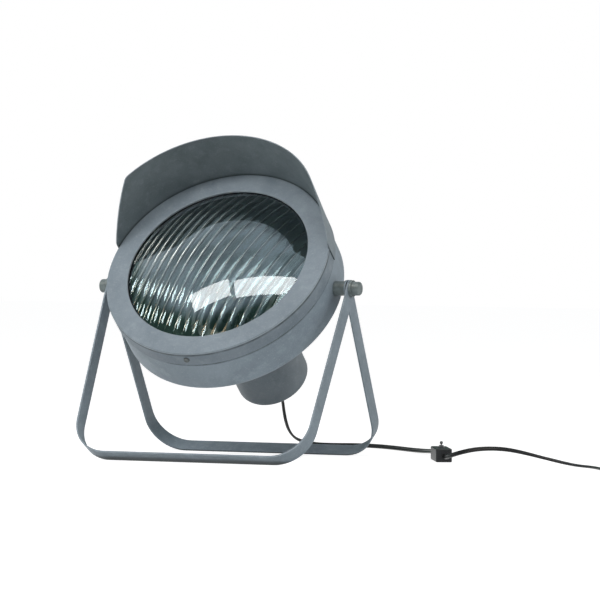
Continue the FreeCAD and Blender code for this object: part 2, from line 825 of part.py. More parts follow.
def pivot_washer(start, thickness):
    """Washers on both bolts, beside the strap pads."""
    bore = pivot_bolt_radius + screw_clearance
    return on_both_sides(tube(washer_radius, bore, start, start + thickness, X_AXIS))


def strap_spacers():
    """Washers that keep the two hoops' pads apart."""
    start = rear_pad_x + strap_thickness / 2
    bore = pivot_bolt_radius + bolt_slip
    return on_both_sides(tube(pad_spacer_radius, bore, start, start + pad_spacer_thickness, X_AXIS))


def knob():
    """Clamping knob at +X, with a blind threaded bore."""
    body = rod(knob_radius, knob_start, knob_start + knob_length, X_AXIS)
    rim = [edge for edge in body.Edges if edge.BoundBox.XMin > knob_start + knob_length / 2]
    body = body.makeFillet(knob_edge, rim)
    bore = rod(pivot_bolt_radius + knob_slip, knob_start - 1, knob_start + knob_bore_depth + 1, X_AXIS)
    return body.cut(bore)


# ---------------------------------------------------------------- stand
def strip_face(points, radii, half):
    """Face of a strip of even thickness about a line in the XZ plane, with round bends."""
    sides = []
    for offset in (half, -half):
        edges = []
        last = None
        for index, point in enumerate(points):
            if index == 0:
                direction = unit(points[1] - point)
                last = point + V(-direction.z, 0, direction.x) * offset
                first = last
                continue
            into = unit(point - points[index - 1])
            into_normal = V(-into.z, 0, into.x) * offset
            if index == len(points) - 1:
                edges.append(Part.LineSegment(last, point + into_normal).toShape())
                last = point + into_normal
                continue
            out = unit(points[index + 1] - point)
            start, middle, end = corner_arc(points[index - 1], point, points[index + 1], radii[index])
            inward = unit(points[index - 1] + points[index + 1] - point * 2)
            side = 1 if (into_normal * (1 / offset)).dot(unit(out - into)) > 0 else -1
            centre = start + into_normal * (side * radii[index] / offset)
            arc_start = start + into_normal
            arc_end = end + V(-out.z, 0, out.x) * offset
            arc_middle = centre + unit(middle - centre) * (radii[index] - side * offset)
            edges.append(Part.LineSegment(last, arc_start).toShape())
            edges.append(Part.Arc(arc_start, arc_middle, arc_end).toShape())
            last = arc_end
        sides.append((edges, first, last))
    (left, left_first, left_last), (right, right_first, right_last) = sides
    caps = [Part.LineSegment(left_first, right_first).toShape(),
            Part.LineSegment(left_last, right_last).toShape()]
    return Part.Face(Part.Wire(Part.__sortEdges__(left + right + caps)))


def strap_hoop(pad_x, corner_x, lean):
    """One strap hoop: round-ended pads at the pivot, leaning legs and a bar on the table."""
    bar = -hoop_depth + strap_thickness / 2
    end = strap_width / 2
    half_line = [V(pad_x, 0, end), V(pad_x, 0, -pad_length), V(corner_x, 0, bar)]
    points = half_line + [V(-p.x, 0, p.z) for p in reversed(half_line)]
    radii = [0, pad_bend_radius, hoop_corner_radius, hoop_corner_radius, pad_bend_radius, 0]
    hoop = strip_face(points, radii, strap_thickness / 2).extrude(V(0, strap_width, 0))
    hoop.translate(V(0, -strap_width / 2, 0))
    span = 2 * (pad_x + strap_thickness)
    above = Part.makeBox(span, strap_width, end, V(-span / 2, -strap_width / 2, 0))
    ends = above.cut(rod(end, -span / 2, span / 2, X_AXIS))
    hole = rod(pivot_bolt_radius + bolt_slip, -span / 2, span / 2, X_AXIS)
    hoop = hoop.cut(ends).cut(hole)
    hoop.rotate(ORIGIN, X_AXIS, lean)
    hoop.translate(V(0, 0, pivot_height))
    return hoop


# ---------------------------------------------------------------- switch
def hollow_half(base, height, open_at_top):
    """Half of the switch's case: a tray, open on the side of the split."""
    half_width = switch_width / 2
    outline = [(-half_width, 0), (half_width, 0), (half_width, switch_length), (-half_width, switch_length)]
    tray = plate(outline, [switch_edge] * 4, height, base)
    outer_z = base if open_at_top else base + height
    rim = [e for e in tray.Edges if abs(e.BoundBox.ZMin - outer_z) < 1e-4 and e.BoundBox.ZLength < 1e-4]
    tray = tray.makeFillet(switch_wall * 0.8, rim)
    inset = switch_wall
    cavity = [(-half_width + inset, inset), (half_width - inset, inset),
              (half_width - inset, switch_length - inset), (-half_width + inset, switch_length - inset)]
    cavity_base = base + inset if open_at_top else base
    tray = tray.cut(plate(cavity, [1.0] * 4, height - inset, cavity_base))
    return tray


def case_posts(base, height, bore):
    """Screw posts inside the switch's case."""
    posts = []
    for y in (case_screw_inset, switch_length - case_screw_inset):
        x = case_post_x()
        posts.append(tube(case_post_radius, bore, base, base + height, Z_AXIS, V(x, y, 0)))
    return posts


def case_post_x():
    """The posts stand against the case's side wall."""
    return switch_width / 2 - switch_wall - case_post_radius + 0.4


def cord_channel():
    """Bar along the switch, the size of the cord's entries."""
    return rod(cord_radius + switch_cord_slip, -1, switch_length + 1, Y_AXIS, V(0, 0, switch_split))


def switch_base():
    """Lower half of the switch's case."""
    tray = hollow_half(0, switch_split, True)
    post_base = switch_wall * 0.5
    for post in case_posts(post_base, switch_split - post_base, case_screw_radius + screw_clearance):
        tray = tray.fuse(post)
    for y in (case_screw_inset, switch_length - case_screw_inset):
        place = V(case_post_x(), y, 0)
        tray = tray.cut(rod(case_screw_head_radius + screw_clearance, -1, case_screw_head_height, Z_AXIS, place))
        tray = tray.cut(rod(case_screw_radius + screw_clearance, 0, switch_split, Z_AXIS, place))
    return tray.cut(cord_channel())


def switch_cover():
    """Upper half of the switch's case, with the toggle's hole."""
    height = switch_height - switch_split
    tray = hollow_half(switch_split, height, False)
    for post in case_posts(switch_split, height - switch_wall * 0.5, case_screw_radius + thread_slip):
        tray = tray.fuse(post)
    bore = rod(toggle_bush_radius + screw_clearance, switch_split, switch_height + 1, Z_AXIS,
               V(0, switch_length / 2, 0))
    for y in (case_screw_inset, switch_length - case_screw_inset):
        place = V(case_post_x(), y, 0)
        tray = tray.cut(rod(case_screw_radius + thread_slip, switch_split, switch_height - 3, Z_AXIS, place))
    return tray.cut(bore).cut(cord_channel())


def case_screws():
    """Screws from below that join the switch's halves."""
    length = switch_height - 3 - case_screw_head_height - 1
    screw = pan_screw(case_screw_radius, length, case_screw_head_radius, case_screw_head_height * 0.8)
    screw.rotate(ORIGIN, X_AXIS, 180.0)
    screws = []
    for y in (case_screw_inset, switch_length - case_screw_inset):
        copy = screw.copy()
        copy.translate(V(case_post_x(), y, case_screw_head_height))
        screws.append(copy)
    return Part.makeCompound(screws)


def contact_block():
    """Moulded block that carries the switch's contacts."""
    return block(contact_block_size, contact_x, switch_length / 2, switch_wall)


def contact_blades():
    """Brass terminals at both ends of the contact block."""
    blades = []
    reach = contact_block_size.y / 2 + terminal_size.y / 2
    for side in (-1, 1):
        place = switch_length / 2 + side * reach
        blades.append(block(terminal_size, contact_x + terminal_offset_x, place, switch_wall))
    return Part.makeCompound(blades)


def switch_clamps():
    """Blocks that hold the cord's sheath inside both ends of the case."""
    bore = rod(cord_radius + clamp_slip, 0, switch_length, Y_AXIS, V(0, 0, switch_split))
    blocks = [block(clamp_size, 0, y, switch_wall).cut(bore)
              for y in (clamp_inset, switch_length - clamp_inset)]
    return Part.makeCompound(blocks)


def switch_cord_ends():
    """The cord's sheath inside both ends of the case."""
    line = V(0, 0, switch_split)
    start = cord_joint_gap
    near = rod(cord_radius, start, sheath_in_switch, Y_AXIS, line)
    far = rod(cord_radius, switch_length - sheath_in_switch, switch_length - start, Y_AXIS, line)
    return Part.makeCompound([near, far])


def switch_cores():
    """The core that runs straight through, and the two that end at the terminals."""
    start = sheath_in_switch
    through = rod(core_radius, start, switch_length - start, Y_AXIS, V(core_spread, 0, switch_split))
    cores = [through]
    terminal_x = contact_x + terminal_offset_x
    terminal_z = switch_wall + terminal_size.z / 2
    reach = contact_block_size.y / 2 + terminal_size.y
    for side in (-1, 1):
        middle = switch_length / 2
        first = middle + side * (middle - start)
        last = middle + side * reach
        points = [
            V(-core_spread, first, switch_split), V(-core_spread, first - side * 1.6, switch_split),
            V(terminal_x, last + side * 1.2, terminal_z), V(terminal_x, last, terminal_z),
        ]
        path = Part.Wire(path_edges(points, [0, core_bend, core_bend, 0]))
        ring = Part.Wire(Part.makeCircle(core_radius, points[0], Y_AXIS))
        cores.append(path.makePipeShell([ring], True, False))
    return Part.makeCompound(cores)


def toggle_bush():
    """Threaded bush in the cover, with the toggle's bore."""
    place = V(0, switch_length / 2, 0)
    top = switch_height + toggle_bush_above
    ceiling = switch_height - switch_wall
    bush = rod(toggle_bush_radius, ceiling - toggle_bush_below, top, Z_AXIS, place)
    flange = rod(toggle_flange_radius, ceiling - toggle_flange_height, ceiling, Z_AXIS, place)
    pin_bore = rod(toggle_pin_radius + toggle_ball_slip, -toggle_nut_across, toggle_nut_across, X_AXIS,
                   toggle_pivot())
    return bush.fuse(flange).cut(rod(toggle_bore_radius, 0, top + 1, Z_AXIS, place)).cut(pin_bore)


def toggle_nut():
    """Nut that holds the bush on the cover."""
    nut = hex_nut(toggle_nut_across, toggle_nut_height, toggle_bush_radius + thread_slip, switch_height)
    nut.translate(V(0, switch_length / 2, 0))
    return nut


def toggle_pivot():
    """The toggle's pivot, in the switch's frame."""
    return V(0, switch_length / 2, switch_height + toggle_bush_above - toggle_pivot_drop)


def toggle_lever():
    """Ball-ended lever with its pivot ball, cross pin and tail."""
    pivot = toggle_pivot()
    ball = Part.makeSphere(toggle_bore_radius - toggle_ball_slip, pivot)
    tip_height = toggle_pivot_drop + toggle_above_bush
    stem = rod(toggle_stem_radius, -toggle_tail, tip_height - toggle_tip_radius, Z_AXIS, pivot)
    tip = Part.makeSphere(toggle_tip_radius, pivot + V(0, 0, tip_height - toggle_tip_radius))
    pin = rod(toggle_pin_radius, -toggle_pin_length / 2, toggle_pin_length / 2, X_AXIS, pivot)
    return ball.fuse(stem).fuse(tip).fuse(pin)


# ---------------------------------------------------------------- cord and plug
def cord_arc_radii(points):
    """Each corner's radius, as large as its two runs allow."""
    radii = [0]
    for before, at, after in zip(points, points[1:], points[2:]):
        shorter = min((at - before).Length, (after - at).Length)
        turn = math.pi - (before - at).getAngle(after - at)
        radii.append(cord_arc_share * shorter / math.tan(turn / 2))
    return radii + [0]


def cord_tube(name, points, first=0, last=None):
    """Round tube along the route, or along the stretch between two of its edges."""
    radii = cord_arc_radii(points)
    edges = path_edges(points, radii)[first:last]
    path = Part.Wire(edges)
    start = edges[0].valueAt(edges[0].FirstParameter)
    heading = edges[0].tangentAt(edges[0].FirstParameter)
    ring = Part.Wire(Part.makeCircle(cord_radius, start, heading))
    solid = path.makePipeShell([ring], True, False)
    expected = math.pi * cord_radius ** 2 * path.Length
    tightest = min(radius for radius in radii if radius)
    print("%s: length %.1f, tightest arc %.1f, volume share %.5f"
          % (name, path.Length, tightest, solid.Volume / expected))
    return solid


def switch_end(y):
    """Middle of the switch's end face where the cord meets it."""
    local = FreeCAD.Rotation(Z_AXIS, switch_turn).multVec(V(0, y, switch_split))
    return local + switch_place


def grip_tip():
    """The cord's place at the grip's tip, on the stand."""
    angle = math.radians(beam_elevation)
    reach = grip_end_behind_pivot
    return V(0, reach * math.cos(angle), pivot_height - reach * math.sin(angle))


def plug_entry():
    """Where the cord meets the plug."""
    local = FreeCAD.Rotation(Z_AXIS, plug_turn).multVec(V(0, -cord_joint_gap, plug_height / 2))
    return local + plug_place


def cord_coil():
    """Outer shape of the wound spare length."""
    half = coil_section_width / 2
    inner = coil_middle_radius - half
    outer = coil_middle_radius + half
    ring = spun([(inner, 0), (outer, 0), (outer, coil_section_height), (inner, coil_section_height)],
                [coil_section_corner] * 4)
    ring.translate(coil_centre + V(0, 0, floor_gap))
    return ring


def plug_body():
    """Flat two-pin plug, narrowing to the cord."""
    neck = plug_neck_width / 2
    wide = plug_width / 2
    shoulder = plug_length * 0.3
    cheek = plug_length * 0.72
    outline = [(-neck, 0), (neck, 0), (neck * 1.25, shoulder), (wide, cheek), (wide, plug_length),
               (-wide, plug_length), (-wide, cheek), (-neck * 1.25, shoulder)]
    body = plate(outline, [2, 2, 10, 6, 2, 2, 6, 10], plug_height)
    rims = [e for e in body.Edges if e.BoundBox.ZLength < 1e-4]
    body = body.makeFillet(plug_edge, rims)
    for side in (-1, 1):
        place = V(side * pin_spacing / 2, 0, plug_height / 2)
        socket = rod(pin_root_radius + pin_slip, plug_length - pin_seat, plug_length + 1, Y_AXIS, place)
        body = body.cut(socket)
    return body


def plug_pins():
    """The plug's two round pins."""
    pins = []
    for side in (-1, 1):
        place = V(side * pin_spacing / 2, 0, plug_height / 2)
        shoulder = plug_length + pin_root_outside
        pin = rod(pin_radius, shoulder, plug_length + pin_length, Y_AXIS, place)
        tip = [e for e in pin.Edges if e.BoundBox.YMin > plug_length + pin_length / 2]
        root = rod(pin_root_radius, plug_length - pin_seat, shoulder, Y_AXIS, place)
        pins.append(pin.makeFillet(pin_radius * 0.45, tip).fuse(root))
    return Part.makeCompound(pins)


# ---------------------------------------------------------------- assembly
def head_pieces():
    """Everything that tilts, in the head's frame."""
    return {
        "head_shell": head_shell(),
        "bezel_ring": bezel_ring(),
        "visor": visor(),
        "bezel_screws": bezel_screws(),
        "bezel_nuts": bezel_nuts(),
        "lens_glass": lens_glass(),
        "lens_gasket": lens_gasket(),
        "lens_clips": lens_clips(),
        "lens_clip_nuts": lens_clip_nuts(),
        "rear_cup": rear_cup(),
        "cup_screws": cup_screws(),
        "cup_nuts": cup_nuts(),
        "cord_grip": cord_grip(),
        "cord_root": cord_root(),
        "stem_tube": stem_tube(),
        "stem_nuts": stem_nuts(),
        "holder_base": holder_base(),
        "holder_sleeve": holder_sleeve(),
        "holder_insert": holder_insert(),
        "holder_terminals": holder_terminals(),
        "holder_thread_shell": holder_thread_shell(),
        "holder_contact": holder_contact(),
        "lead_wires": lead_wires(),
        "bulb_glass": bulb_glass(),
        "bulb_cap": bulb_cap(),
        "bulb_contact": bulb_contact(),
        "bulb_filament": bulb_filament(),
        "pivot_bolts": pivot_bolts(),
        "backing_plates": backing_plates(),
        "spacer_bushes": spacer_bushes(),
        "inner_washers": pivot_washer(bush_end, inner_washer_thickness),
        "outer_washers": pivot_washer(outer_washer_start, outer_washer_thickness),
    }


def switch_pieces():
    """The inline switch, in its own frame."""
    return {
        "switch_base": switch_base(),
        "switch_cover": switch_cover(),
        "switch_case_screws": case_screws(),
        "switch_contact_block": contact_block(),
        "switch_terminals": contact_blades(),
        "switch_clamps": switch_clamps(),
        "switch_cord_ends": switch_cord_ends(),
        "switch_cores": switch_cores(),
        "toggle_bush": toggle_bush(),
        "toggle_nut": toggle_nut(),
        "toggle_lever": toggle_lever(),
    }


def cord_pieces():
    """The cord's solids, from the grip to the plug."""
    drop = [grip_tip()] + drop_points + [switch_end(switch_length)]
    lead = [switch_end(0)] + lead_points
    lead.append(coil_centre + V(-coil_middle_radius - coil_end_offset, 0, 2.75))
    tail = [coil_centre + V(coil_middle_radius + coil_end_offset, 0, 2.75)]
    tail += tail_points + [plug_entry()]
    split = 2 * drop_split
    return {
        "cord_drop": cord_tube("cord_drop", drop, last=split),
        "cord_to_switch": cord_tube("cord_to_switch", drop, first=split),
        "cord_lead": cord_tube("cord_lead", lead),
        "cord_coil": cord_coil(),
        "cord_tail": cord_tube("cord_tail", tail),
    }


def build():
    """All pieces in the lamp's frame, by name."""
    pieces = {
        "front_strap": strap_hoop(front_pad_x, front_hoop_corner_x, -hoop_splay),
        "rear_strap": strap_hoop(rear_pad_x, rear_hoop_corner_x, hoop_splay),
        "strap_spacers": tilted(strap_spacers()),
    }
    for name, shape in head_pieces().items():
        pieces[name] = tilted(shape)
    right = knob()
    left = right.copy()
    left.rotate(ORIGIN, Z_AXIS, 180.0)
    pieces["knob_right"] = tilted(right)
    pieces["knob_left"] = tilted(left)
    for name, shape in switch_pieces().items():
        pieces[name] = turned(shape, switch_turn, switch_place)
    for name, shape in {"plug_body": plug_body(), "plug_pins": plug_pins()}.items():
        pieces[name] = turned(shape, plug_turn, plug_place)
    pieces.update(cord_pieces())
    return pieces


os.makedirs("parts", exist_ok=True)
for piece_name, piece_shape in build().items():
    if not piece_shape.isValid():
        print("not valid:", piece_name)
    piece_shape.exportStep("parts/%s.step" % piece_name)
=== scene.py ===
"""Looks of the tabletop searchlight lamp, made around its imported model.

All sizes are in metres, in the model's frame.
"""
import json
import math

import bmesh
import bpy
from mathutils import Matrix, Vector


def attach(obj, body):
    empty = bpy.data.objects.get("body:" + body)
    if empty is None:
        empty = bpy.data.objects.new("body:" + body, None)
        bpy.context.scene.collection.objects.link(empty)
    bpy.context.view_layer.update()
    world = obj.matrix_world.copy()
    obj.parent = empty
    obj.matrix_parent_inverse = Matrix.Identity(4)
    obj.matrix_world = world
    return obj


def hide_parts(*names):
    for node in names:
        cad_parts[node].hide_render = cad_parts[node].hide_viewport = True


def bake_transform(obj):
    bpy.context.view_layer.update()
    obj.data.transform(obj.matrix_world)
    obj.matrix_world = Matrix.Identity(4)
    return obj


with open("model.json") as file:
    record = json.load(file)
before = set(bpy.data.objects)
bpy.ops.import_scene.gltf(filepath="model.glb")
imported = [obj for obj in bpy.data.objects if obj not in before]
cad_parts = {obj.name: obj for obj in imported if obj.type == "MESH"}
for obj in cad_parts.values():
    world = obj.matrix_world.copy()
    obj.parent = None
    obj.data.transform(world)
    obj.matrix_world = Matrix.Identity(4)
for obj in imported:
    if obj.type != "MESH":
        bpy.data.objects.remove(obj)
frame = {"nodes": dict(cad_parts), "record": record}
scene = bpy.context.scene
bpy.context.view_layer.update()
Z = Vector((0, 0, 1))


def placement(across, upward, back, origin):
    """Matrix of an object from its own X, Y and Z axes and its origin."""
    return Matrix((*zip(across, upward, back, origin), (0, 0, 0, 1)))


# ---------------------------------------------------------------- camera
camera_sensor = 36.0            # sensor width and focal length in millimetres
camera_lens = 223.98
camera_turn = 0.4128            # about the vertical, towards +X, in radians
camera_roll = 0.0045
camera_back = Vector((0.40110799, -0.91583493, 0.01894073))
camera_place = Vector((2.00608, -4.35353, 0.29379))


def make_camera():
    """Camera at the photograph's angle."""
    data = bpy.data.cameras.new("camera")
    data.sensor_width = camera_sensor
    data.lens = camera_lens
    camera = bpy.data.objects.new("camera", data)
    right = Vector((math.cos(camera_turn), math.sin(camera_turn), 0))
    up = camera_back.cross(right)
    across = right * math.cos(camera_roll) + up * math.sin(camera_roll)
    upward = up * math.cos(camera_roll) - right * math.sin(camera_roll)
    camera.matrix_world = placement(across, upward, camera_back, camera_place)
    scene.collection.objects.link(camera)
    scene.camera = camera


make_camera()

# ---------------------------------------------------------------- mesh helpers
beam_tilt = math.radians(40.7)
pivot_height = 0.219


def from_head(x, y, z):
    """A point of the head's own frame, Z along the beam, in the lamp's frame."""
    s, c = math.sin(beam_tilt), math.cos(beam_tilt)
    return Vector((x, y * s - z * c, pivot_height + y * c + z * s))


def new_object(name, bm, smooth=True):
    """An object from a bmesh, with its faces turned outward."""
    bmesh.ops.recalc_face_normals(bm, faces=bm.faces)
    for face in bm.faces:
        face.smooth = smooth
    mesh = bpy.data.meshes.new(name)
    bm.to_mesh(mesh)
    bm.free()
    made = bpy.data.objects.new(name, mesh)
    scene.collection.objects.link(made)
    return made


def join_loops(bm, near, far):
    """Quads between two closed loops of as many vertices."""
    for i in range(len(near)):
        j = (i + 1) % len(near)
        bm.faces.new((near[i], near[j], far[j], far[i]))


def skin(bm, rings, closed_ends=True):
    """Quads between rings of points, and a cap on each end."""
    loops = [[bm.verts.new(p) for p in ring] for ring in rings]
    for near, far in zip(loops, loops[1:]):
        join_loops(bm, near, far)
    if closed_ends:
        bm.faces.new(list(reversed(loops[0])))
        bm.faces.new(loops[-1])


def smooth_step(low, high, value):
    """0 at low, 1 at high and smooth between them."""
    t = min(1.0, max(0.0, (value - low) / (high - low)))
    return t * t * (3 - 2 * t)


def between(stations, value):
    """Value of a smooth curve through (place, value) stations."""
    if value <= stations[0][0]:
        return stations[0][1]
    for (a, x), (b, y) in zip(stations, stations[1:]):
        if value <= b:
            return x + (y - x) * smooth_step(a, b, value)
    return stations[-1][1]


# ---------------------------------------------------------------- cord
cord_width = 0.0058
cord_thickness = 0.0031
cord_lobe = cord_thickness / 2
cord_spread = (cord_width - cord_thickness) / 2
cord_route_radius = 0.00275     # height of the route where the cord lies on the floor
cord_floor_gap = 0.00005
lying_height = 0.003            # a route below this lies on the floor
lifted_height = 0.009           # and above this it is clear of it
let_down_run = 0.03             # stretch over which the letting down ends
whole_run = 9.0                 # more than any cord's length
lobe_points = 10
route_resolution = 10

drop_route = [
    (0, 0.15693, 0.08402),
    (0, 0.1641, 0.0778), (0, 0.1709, 0.0672), (0, 0.1752, 0.0525), (0, 0.1818, 0.038),
    (0, 0.193, 0.0246), (0.001, 0.21, 0.0146), (0.004, 0.232, 0.0088), (0.012, 0.256, 0.0048),
    (0.028, 0.277, 0.00275), (0.057, 0.288, 0.00275), (0.092, 0.28, 0.00275),
    (0.128, 0.254, 0.00275), (0.163, 0.223, 0.00275), (0.195, 0.19, 0.0038),
    (0.22, 0.1535, 0.0062), (0.2396, 0.1192, 0.0078),
    (0.25222, 0.09538, 0.00755),
]
lead_route = [
    (0.283, 0.037, 0.00755),
    (0.2908, 0.0222, 0.0074), (0.302, 0.008, 0.0104), (0.3185, 0, 0.0154), (0.338, 0, 0.02),
    (0.357, 0.007, 0.0214), (0.376, 0.018, 0.02), (0.396, 0.03, 0.015), (0.418, 0.038, 0.009),
    (0.442, 0.038, 0.0048), (0.466, 0.029, 0.00275), (0.488, 0.013, 0.00275),
    (0.506, -0.009, 0.00275), (0.519, -0.03, 0.00275), (0.5338, -0.042, 0.0019),
]
tail_route = [
    (0.602, -0.038, 0.0072), (0.6012, -0.024, 0.0066), (0.5986, -0.01, 0.0063),
    (0.5944, 0.003, 0.0066), (0.59051, 0.01372, 0.0069),
]

# Twists in degrees, each with its distance from the cord's start, or before its end.
drop_twists = [(0, -50), (0.06, -35), (0.12, -42), (0.2, -76)]
drop_end_twists = [(0.07, -80), (0.03, -50)]
lead_twists = [(0, -82), (0.04, -80), (0.10, -52), (0.17, -14), (0.22, 0)]
lead_free_run = 0.31            # from here on the coil's turns set the cord's height

coil_centre = Vector((0.569, -0.047, 0))
coil_inner, coil_outer = 0.0271, 0.0329
coil_levels = (0.0016, 0.0045, 0.0074)
coil_start = 180                # bearing where the cord joins the coil, in degrees
coil_sweep = 1620
coil_steps = 54
coil_waver = 0.0004             # how far a turn strays from its circle, away from the tie
coil_waver_rate, coil_waver_phase = 0.0061, 1.3
coil_tie_angle = 62.0


def coil_points():
    """Four and a half tied turns: two beside each other, two on those, and a half on top."""
    # Each station is a bearing, a radius and a level.
    stations = [
        (180, coil_outer, 0), (470, coil_outer, 0), (530, coil_inner, 0),
        (830, coil_inner, 0), (885, coil_inner, 1), (1190, coil_inner, 1), (1250, coil_outer, 1),
        (1545, coil_outer, 1), (1600, coil_outer, 2), (1800, coil_outer, 2),
    ]
    radii = [(bearing, radius) for bearing, radius, level in stations]
    heights = [(bearing, coil_levels[level]) for bearing, radius, level in stations]
    half_step = math.radians(coil_sweep / coil_steps / 2)
    points = []
    for step in range(1, coil_steps + 1):
        bearing = coil_start + coil_sweep * step / coil_steps
        off_tie = abs((bearing - coil_tie_angle + 180) % 360 - 180) / 180
        waver = coil_waver * math.sin(bearing * coil_waver_rate + coil_waver_phase)
        radius = between(radii, bearing) + waver * smooth_step(0.1, 0.5, off_tie)
        reach = radius / math.cos(half_step) ** 2       # a control point lies outside the line
        turn = math.radians(bearing)
        points.append((coil_centre.x + reach * math.cos(turn),
                       coil_centre.y + reach * math.sin(turn), between(heights, bearing)))
    return points


def nurbs_line(points):
    """The points of a smooth NURBS line along the route."""
    curve = bpy.data.curves.new("route", "CURVE")
    curve.dimensions = "3D"
    spline = curve.splines.new("NURBS")
    spline.points.add(len(points) - 1)
    for point, place in zip(spline.points, points):
        point.co = (*place, 1.0)
    spline.order_u = 3
    spline.use_endpoint_u = True
    spline.resolution_u = route_resolution
    holder = bpy.data.objects.new("route", curve)
    mesh = bpy.data.meshes.new_from_object(holder)
    line = [v.co.copy() for v in mesh.vertices]
    bpy.data.objects.remove(holder)
    bpy.data.curves.remove(curve)
    bpy.data.meshes.remove(mesh)
    return line


def twin_section():
    """Outline of the flat twin cord, across and through its thickness."""
    reach = math.pi - math.acos(cord_spread / cord_lobe)
    outline = []
    for centre, start in ((cord_spread, -reach), (-cord_spread, math.pi - reach)):
        for step in range(lobe_points):
            angle = start + 2 * reach * step / lobe_points
            outline.append((centre + cord_lobe * math.cos(angle), cord_lobe * math.sin(angle)))
    return outline


def twin_cord(name, line, twists, end_twists, free_run):
    """Flat twin cord along a line, with its ring centres and its length.

    Over its free run it is let down to the floor wherever its route is near it.
    """
    outline = twin_section()
    rings, centres = [], []
    lengths = [0.0]
    for near, far in zip(line, line[1:]):
        lengths.append(lengths[-1] + (far - near).length)
    stations = twists + [(lengths[-1] - before, twist) for before, twist in end_twists]
    for i, at in enumerate(line):
        heading = (line[min(i + 1, len(line) - 1)] - line[max(i - 1, 0)]).normalized()
        side = heading.cross(Z).normalized()
        normal = side.cross(heading)
        twist = math.radians(between(stations, lengths[i]))
        wide = side * math.cos(twist) + normal * math.sin(twist)
        thin = normal * math.cos(twist) - side * math.sin(twist)
        half_height = cord_lobe + cord_spread * abs(math.sin(twist))
        on_floor = (smooth_step(lifted_height, lying_height, at.z)
                    * smooth_step(free_run, free_run - let_down_run, lengths[i]))
        centre = at + Z * on_floor * (half_height + cord_floor_gap - cord_route_radius)
        centres.append(centre)
        rings.append([centre + wide * x + thin * y for x, y in outline])
    bm = bmesh.new()
    skin(bm, rings)
    return new_object(name, bm), centres, lengths[-1]


drop_cord, drop_centres, drop_length = twin_cord(
    "cord_from_lamp", nurbs_line(drop_route), drop_twists, drop_end_twists, whole_run)
lead_line = nurbs_line(lead_route + coil_points() + tail_route)
lead_cord, lead_centres, lead_length = twin_cord(
    "cord_to_plug", lead_line, lead_twists, [], lead_free_run)

# The coil's tie: a flat band round the lower turns, and two ends twisted round each other.
tie_bottom = 0.0001
tie_slack = 0.0004              # between the turns and the band's outside
tie_corner = 0.0013
tie_corner_steps = 4
tie_thickness = 0.0004
tie_half_width = 0.0022
tie_end_radius = 0.0005
tie_end_sides = 6
tie_end_steps = 14
tie_end_twist = 9.0             # in radians
# Where the ends begin, from the band's outer upper edge, and how far they run: out, along and up.
tie_end_start = (0.0002, 0.001, -0.0022)
tie_end_run = (-0.0012, 0.005, -0.0018)


def coil_tie():
    """Band that holds the coil's turns together, with its twisted ends."""
    turn = math.radians(coil_tie_angle)
    out = Vector((math.cos(turn), math.sin(turn), 0))
    along = Vector((-math.sin(turn), math.cos(turn), 0))
    bottom, top = tie_bottom, coil_levels[1] + cord_lobe + tie_slack
    inner, outer = coil_inner - cord_width / 2 - tie_slack, coil_outer + cord_width / 2 + tie_slack
    section = [(tie_corner, -tie_half_width), (tie_corner, tie_half_width),
               (tie_corner - tie_thickness, tie_half_width),
               (tie_corner - tie_thickness, -tie_half_width)]
    corners = ((outer - tie_corner, top - tie_corner, 0),
               (inner + tie_corner, top - tie_corner, 90),
               (inner + tie_corner, bottom + tie_corner, 180),
               (outer - tie_corner, bottom + tie_corner, 270))
    rings = []
    for x, z, start in corners:
        for step in range(tie_corner_steps + 1):
            angle = math.radians(start + 90 / tie_corner_steps * step)
            s, c = math.sin(angle), math.cos(angle)
            rings.append([coil_centre + out * (x + c * r) + Z * (z + s * r) + along * a
                          for r, a in section])
    bm = bmesh.new()
    skin(bm, rings + rings[:1], closed_ends=False)
    bmesh.ops.remove_doubles(bm, verts=bm.verts, dist=1e-7)
    sides = [2 * math.pi / tie_end_sides * side for side in range(tie_end_sides)]
    for lag in (0, math.pi):
        rings = []
        for step in range(tie_end_steps + 1):
            share = step / tie_end_steps
            angle = lag + share * tie_end_twist
            outward, onward, upward = (a + b * share for a, b in zip(tie_end_start, tie_end_run))
            middle = coil_centre + out * (outer + outward) + along * onward + Z * (top + upward)
            middle += (out * math.cos(angle) + Z * math.sin(angle)) * tie_end_radius
            rings.append([middle + (out * math.cos(t) + Z * math.sin(t)) * tie_end_radius
                          for t in sides])
        skin(bm, rings)
    return new_object("coil_tie", bm)


tie = coil_tie()
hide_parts("cord_drop", "cord_to_switch")
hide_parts("cord_lead", "cord_coil", "cord_tail")
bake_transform(drop_cord)
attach(lead_cord, "stand")
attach(tie, "stand")

# ---------------------------------------------------------------- lens
lens_edge = 0.121               # radius where the dome meets the flat rim
lens_rim = 0.1278
lens_rim_round = 0.0008
lens_back_gap = 0.0004          # how far inside the dome's edge the rim's back ends
rim_front, rim_back = 0.0456, 0.0416
lens_bulge = 0.031
lens_wall = 0.0028
lens_rows = 64
plain_border = 0.1202           # radius of the ring between the ribs and the dome's edge
ribs_reach = 0.1192
ribs_share = 0.995              # of that reach, the part that has lines
rib_pitch = 0.01325
rib_turn = math.radians(16.0)
rib_start = 0.00485
rib_count = 24
flute_depth = 0.00066
ridge_height = 0.00062
ridge_round = 0.0001
# Lines of one rib: 0 and 2 lie on its ridges, 1 in the middle of the flute between them.
rib_lines = (0.0, 0.02, 0.045, 0.07, 0.092, 0.104, 0.3, 0.6,
             1.0, 1.4, 1.7, 1.896, 1.908, 1.93, 1.955, 1.98)


def dome_height(radius):
    """Height of the glass's outer face above the pivot, along the beam."""
    ball = (lens_edge ** 2 + lens_bulge ** 2) / (2 * lens_bulge)
    return rim_front + lens_bulge - ball + math.sqrt(ball * ball - radius * radius)


